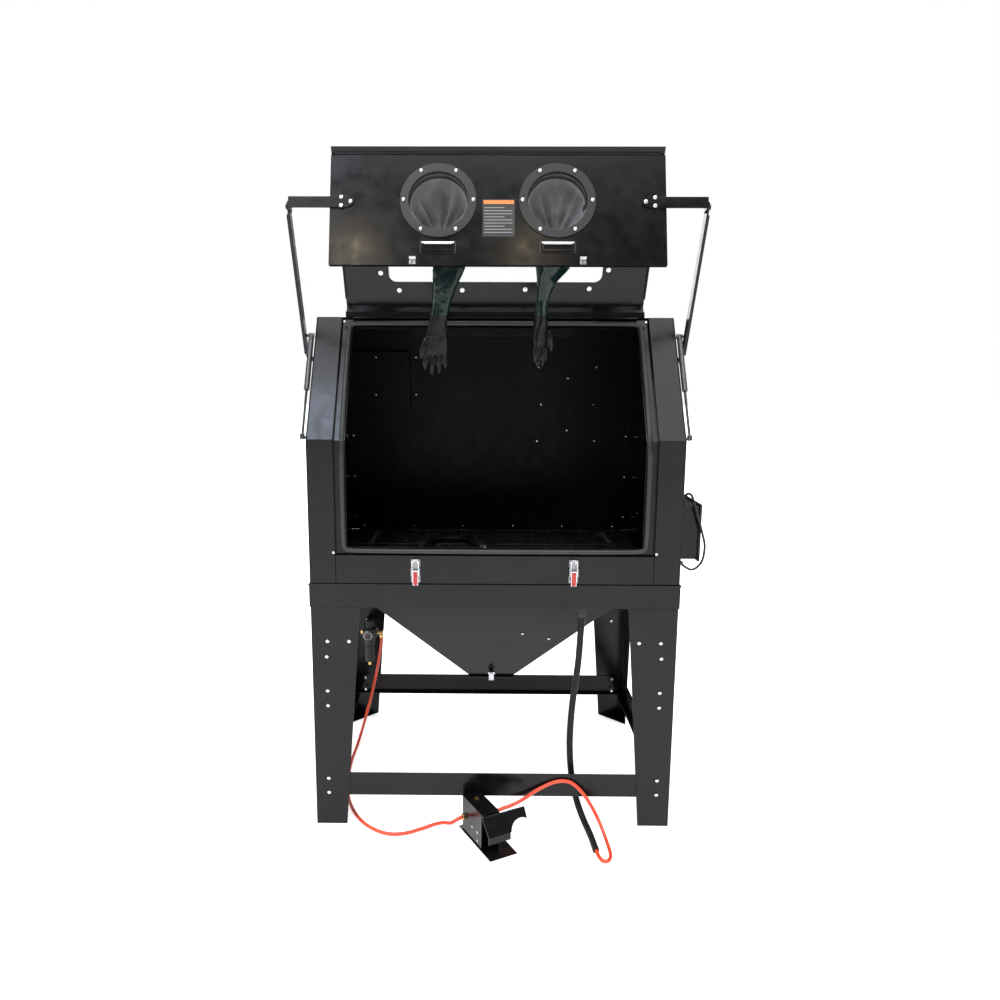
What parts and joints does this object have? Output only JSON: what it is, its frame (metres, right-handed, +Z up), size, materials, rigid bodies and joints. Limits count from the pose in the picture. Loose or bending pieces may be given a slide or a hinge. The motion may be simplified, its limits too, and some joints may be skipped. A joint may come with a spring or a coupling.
{
  "type": "abrasive blast cabinet",
  "caption": "Front-opening abrasive blast cabinet on legs with a folding windowed lid held raised on arms and gas struts, hanging gloves, media hopper, air regulator and foot pedal.",
  "frame": {"origin": "floor level, centre of the plan outline of everything except the free hoses", "axes": "+Z up, -Y towards the open front, +X to the right seen from the front"},
  "size_m": [1.3498, 1.1596, 2.2022],
  "materials": {
    "black_coat": "gloss black powder coat",
    "dark_steel": "satin dark steel",
    "chrome": "polished",
    "strut_grey": "satin grey tube",
    "rubber": "matte black rubber",
    "glove_rubber": "dark coated glove, glossy sleeve and matte hand",
    "glass": "clear window pane",
    "red_grip": "red dipped grip",
    "orange_hose": "orange polyurethane air hose",
    "black_plastic": "black moulded plastic",
    "light_white": "white light housing"
  },
  "bodies": {
    "cabinet": {"side_panel_left": "black_coat", "side_panel_right": "black_coat", "back_panel": "black_coat", "top_panel": "black_coat", "pillar_left": "black_coat", "pillar_right": "black_coat", "front_sill": "black_coat", "door_seal": "rubber", "skirt_frame": "black_coat", "hopper": "black_coat", "work_grate": "dark_steel", "leg_front_left": "black_coat", "leg_front_right": "black_coat", "leg_rear_left": "black_coat", "leg_rear_right": "black_coat", "brace_front": "black_coat", "brace_rear": "black_coat", "brace_left": "black_coat", "brace_right": "black_coat", "dust_outlet": "black_coat", "work_light": "light_white", "blast_gun": "dark_steel", "media_hose": "rubber", "latch_base_left": "chrome", "latch_base_right": "chrome", "control_box": "black_coat", "light_lead": "black_plastic", "filter_regulator": "dark_steel", "pressure_gauge": "dark_steel", "supply_hose": "orange_hose", "pedal_hose": "orange_hose", "sleeve_hose": "rubber", "hose_gland": "black_plastic", "pedal_base": "black_coat"},
    "window_lid": {"window_panel": "black_coat", "window_glass": "glass"},
    "glove_lid": {"glove_panel": "black_coat", "glove_port_left": "rubber", "glove_port_right": "rubber", "arm_bracket_left": "black_coat", "arm_bracket_right": "black_coat"},
    "glove_left": {"glove_left": "glove_rubber"},
    "handle_left": {"drop_handle_left": "chrome"},
    "arm_left": {"lift_arm_left": "black_coat"},
    "rod_left": {"strut_rod_left": "chrome"},
    "cylinder_left": {"strut_cylinder_left": "strut_grey"},
    "latch_left": {"latch_lever_left": "red_grip"},
    "loop_left": {"latch_loop_left": "chrome"},
    "glove_right": {"glove_right": "glove_rubber"},
    "handle_right": {"drop_handle_right": "chrome"},
    "arm_right": {"lift_arm_right": "black_coat"},
    "rod_right": {"strut_rod_right": "chrome"},
    "cylinder_right": {"strut_cylinder_right": "strut_grey"},
    "latch_right": {"latch_lever_right": "red_grip"},
    "loop_right": {"latch_loop_right": "chrome"},
    "clean_out_door": {"hopper_door": "black_coat"},
    "door_catch": {"hopper_catch": "chrome"},
    "knob": {"regulator_knob": "black_plastic"},
    "rocker": {"power_switch": "black_plastic"},
    "treadle": {"pedal_treadle": "black_coat"}
  },
  "joints": [
    {"name": "lid_window", "type": "hinge", "parent": "cabinet", "child": "window_lid", "pos_m": [-0.03087, -0.09845, 1.715], "axis": [1, 0, 0], "range_deg": [0, 120]},
    {"name": "lid_glove", "type": "hinge", "parent": "window_lid", "child": "glove_lid", "pos_m": [-0.03087, -0.31418, 2.18134], "axis": [1, 0, 0], "range_deg": [-105, 0]},
    {"name": "glove_left_hang", "type": "hinge", "parent": "glove_lid", "child": "glove_left", "pos_m": [-0.20987, -0.32016, 2.02766], "axis": [1, 0, 0], "range_deg": [0, 70]},
    {"name": "handle_left_hinge", "type": "hinge", "parent": "glove_lid", "child": "handle_left", "pos_m": [-0.20987, -0.39715, 1.90956], "axis": [1, 0, 0], "range_deg": [-90, 0]},
    {"name": "arm_left_pivot", "type": "hinge", "parent": "cabinet", "child": "arm_left", "pos_m": [-0.66587, -0.11845, 1.57], "axis": [1, 0, 0], "range_deg": [0, 123.1]},
    {"name": "strut_left_foot", "type": "hinge", "parent": "cabinet", "child": "rod_left", "pos_m": [-0.64487, -0.34845, 1.322], "axis": [1, 0, 0], "range_deg": [-16, 0]},
    {"name": "strut_left_stroke", "type": "slide", "parent": "rod_left", "child": "cylinder_left", "axis": [0, 0.5112, 0.8595], "range_m": [-0.1221, 0]},
    {"name": "latch_left_lever", "type": "hinge", "parent": "cabinet", "child": "latch_left", "pos_m": [-0.28587, -0.37975, 0.893], "axis": [1, 0, 0], "range_deg": [-100, 0]},
    {"name": "latch_left_loop", "type": "hinge", "parent": "latch_left", "child": "loop_left", "pos_m": [-0.28587, -0.38675, 0.885], "axis": [1, 0, 0], "range_deg": [0, 115]},
    {"name": "glove_right_hang", "type": "hinge", "parent": "glove_lid", "child": "glove_right", "pos_m": [0.14813, -0.32016, 2.02766], "axis": [1, 0, 0], "range_deg": [0, 70]},
    {"name": "handle_right_hinge", "type": "hinge", "parent": "glove_lid", "child": "handle_right", "pos_m": [0.14813, -0.39715, 1.90956], "axis": [1, 0, 0], "range_deg": [-90, 0]},
    {"name": "arm_right_pivot", "type": "hinge", "parent": "cabinet", "child": "arm_right", "pos_m": [0.60413, -0.11845, 1.57], "axis": [1, 0, 0], "range_deg": [0, 123.1]},
    {"name": "strut_right_foot", "type": "hinge", "parent": "cabinet", "child": "rod_right", "pos_m": [0.58313, -0.34845, 1.322], "axis": [1, 0, 0], "range_deg": [-16, 0]},
    {"name": "strut_right_stroke", "type": "slide", "parent": "rod_right", "child": "cylinder_right", "axis": [0, 0.5112, 0.8595], "range_m": [-0.1221, 0]},
    {"name": "latch_right_lever", "type": "hinge", "parent": "cabinet", "child": "latch_right", "pos_m": [0.22413, -0.37975, 0.893], "axis": [1, 0, 0], "range_deg": [-100, 0]},
    {"name": "latch_right_loop", "type": "hinge", "parent": "latch_right", "child": "loop_right", "pos_m": [0.22413, -0.38675, 0.885], "axis": [1, 0, 0], "range_deg": [0, 115]},
    {"name": "clean_out_hinge", "type": "hinge", "parent": "cabinet", "child": "clean_out_door", "pos_m": [-0.03087, 0.14755, 0.39], "axis": [1, 0, 0], "range_deg": [0, 100]},
    {"name": "door_catch_pivot", "type": "hinge", "parent": "cabinet", "child": "door_catch", "pos_m": [-0.03087, -0.05445, 0.4216], "axis": [1, 0, 0], "range_deg": [-45, 0]},
    {"name": "knob_turn", "type": "hinge", "parent": "cabinet", "child": "knob", "pos_m": [-0.54287, 0.37255, 0.4635], "axis": [0, 0, 1], "range_deg": [-180, 180]},
    {"name": "rocker_tilt", "type": "hinge", "parent": "cabinet", "child": "rocker", "pos_m": [0.66573, -0.17845, 1.01], "axis": [0, 0, 1], "range_deg": [-10, 10]},
    {"name": "treadle_press", "type": "hinge", "parent": "cabinet", "child": "treadle", "pos_m": [-0.02516, -0.5006, 0.119], "axis": [0.8854, 0.4648, 0], "range_deg": [0, 12], "stiffness_Nm_per_rad": 3, "springref_deg": -20.05}
  ],
  "couplings": [
    {"joint": "lid_glove", "follows": "lid_window", "ratio": -0.875},
    {"joint": "glove_left_hang", "follows": "lid_window", "ratio": 0.5833},
    {"joint": "arm_left_pivot", "follows": "lid_window", "ratio": 1.0258},
    {"joint": "strut_left_foot", "follows": "lid_window", "ratio": -0.1333},
    {"joint": "strut_left_stroke", "follows": "lid_window", "m_per_rad": -0.05825},
    {"joint": "latch_left_loop", "follows": "latch_left_lever", "ratio": -1.15},
    {"joint": "glove_right_hang", "follows": "lid_window", "ratio": 0.5833},
    {"joint": "arm_right_pivot", "follows": "lid_window", "ratio": 1.0258},
    {"joint": "strut_right_foot", "follows": "lid_window", "ratio": -0.1333},
    {"joint": "strut_right_stroke", "follows": "lid_window", "m_per_rad": -0.05825},
    {"joint": "latch_right_loop", "follows": "latch_right_lever", "ratio": -1.15}
  ]
}
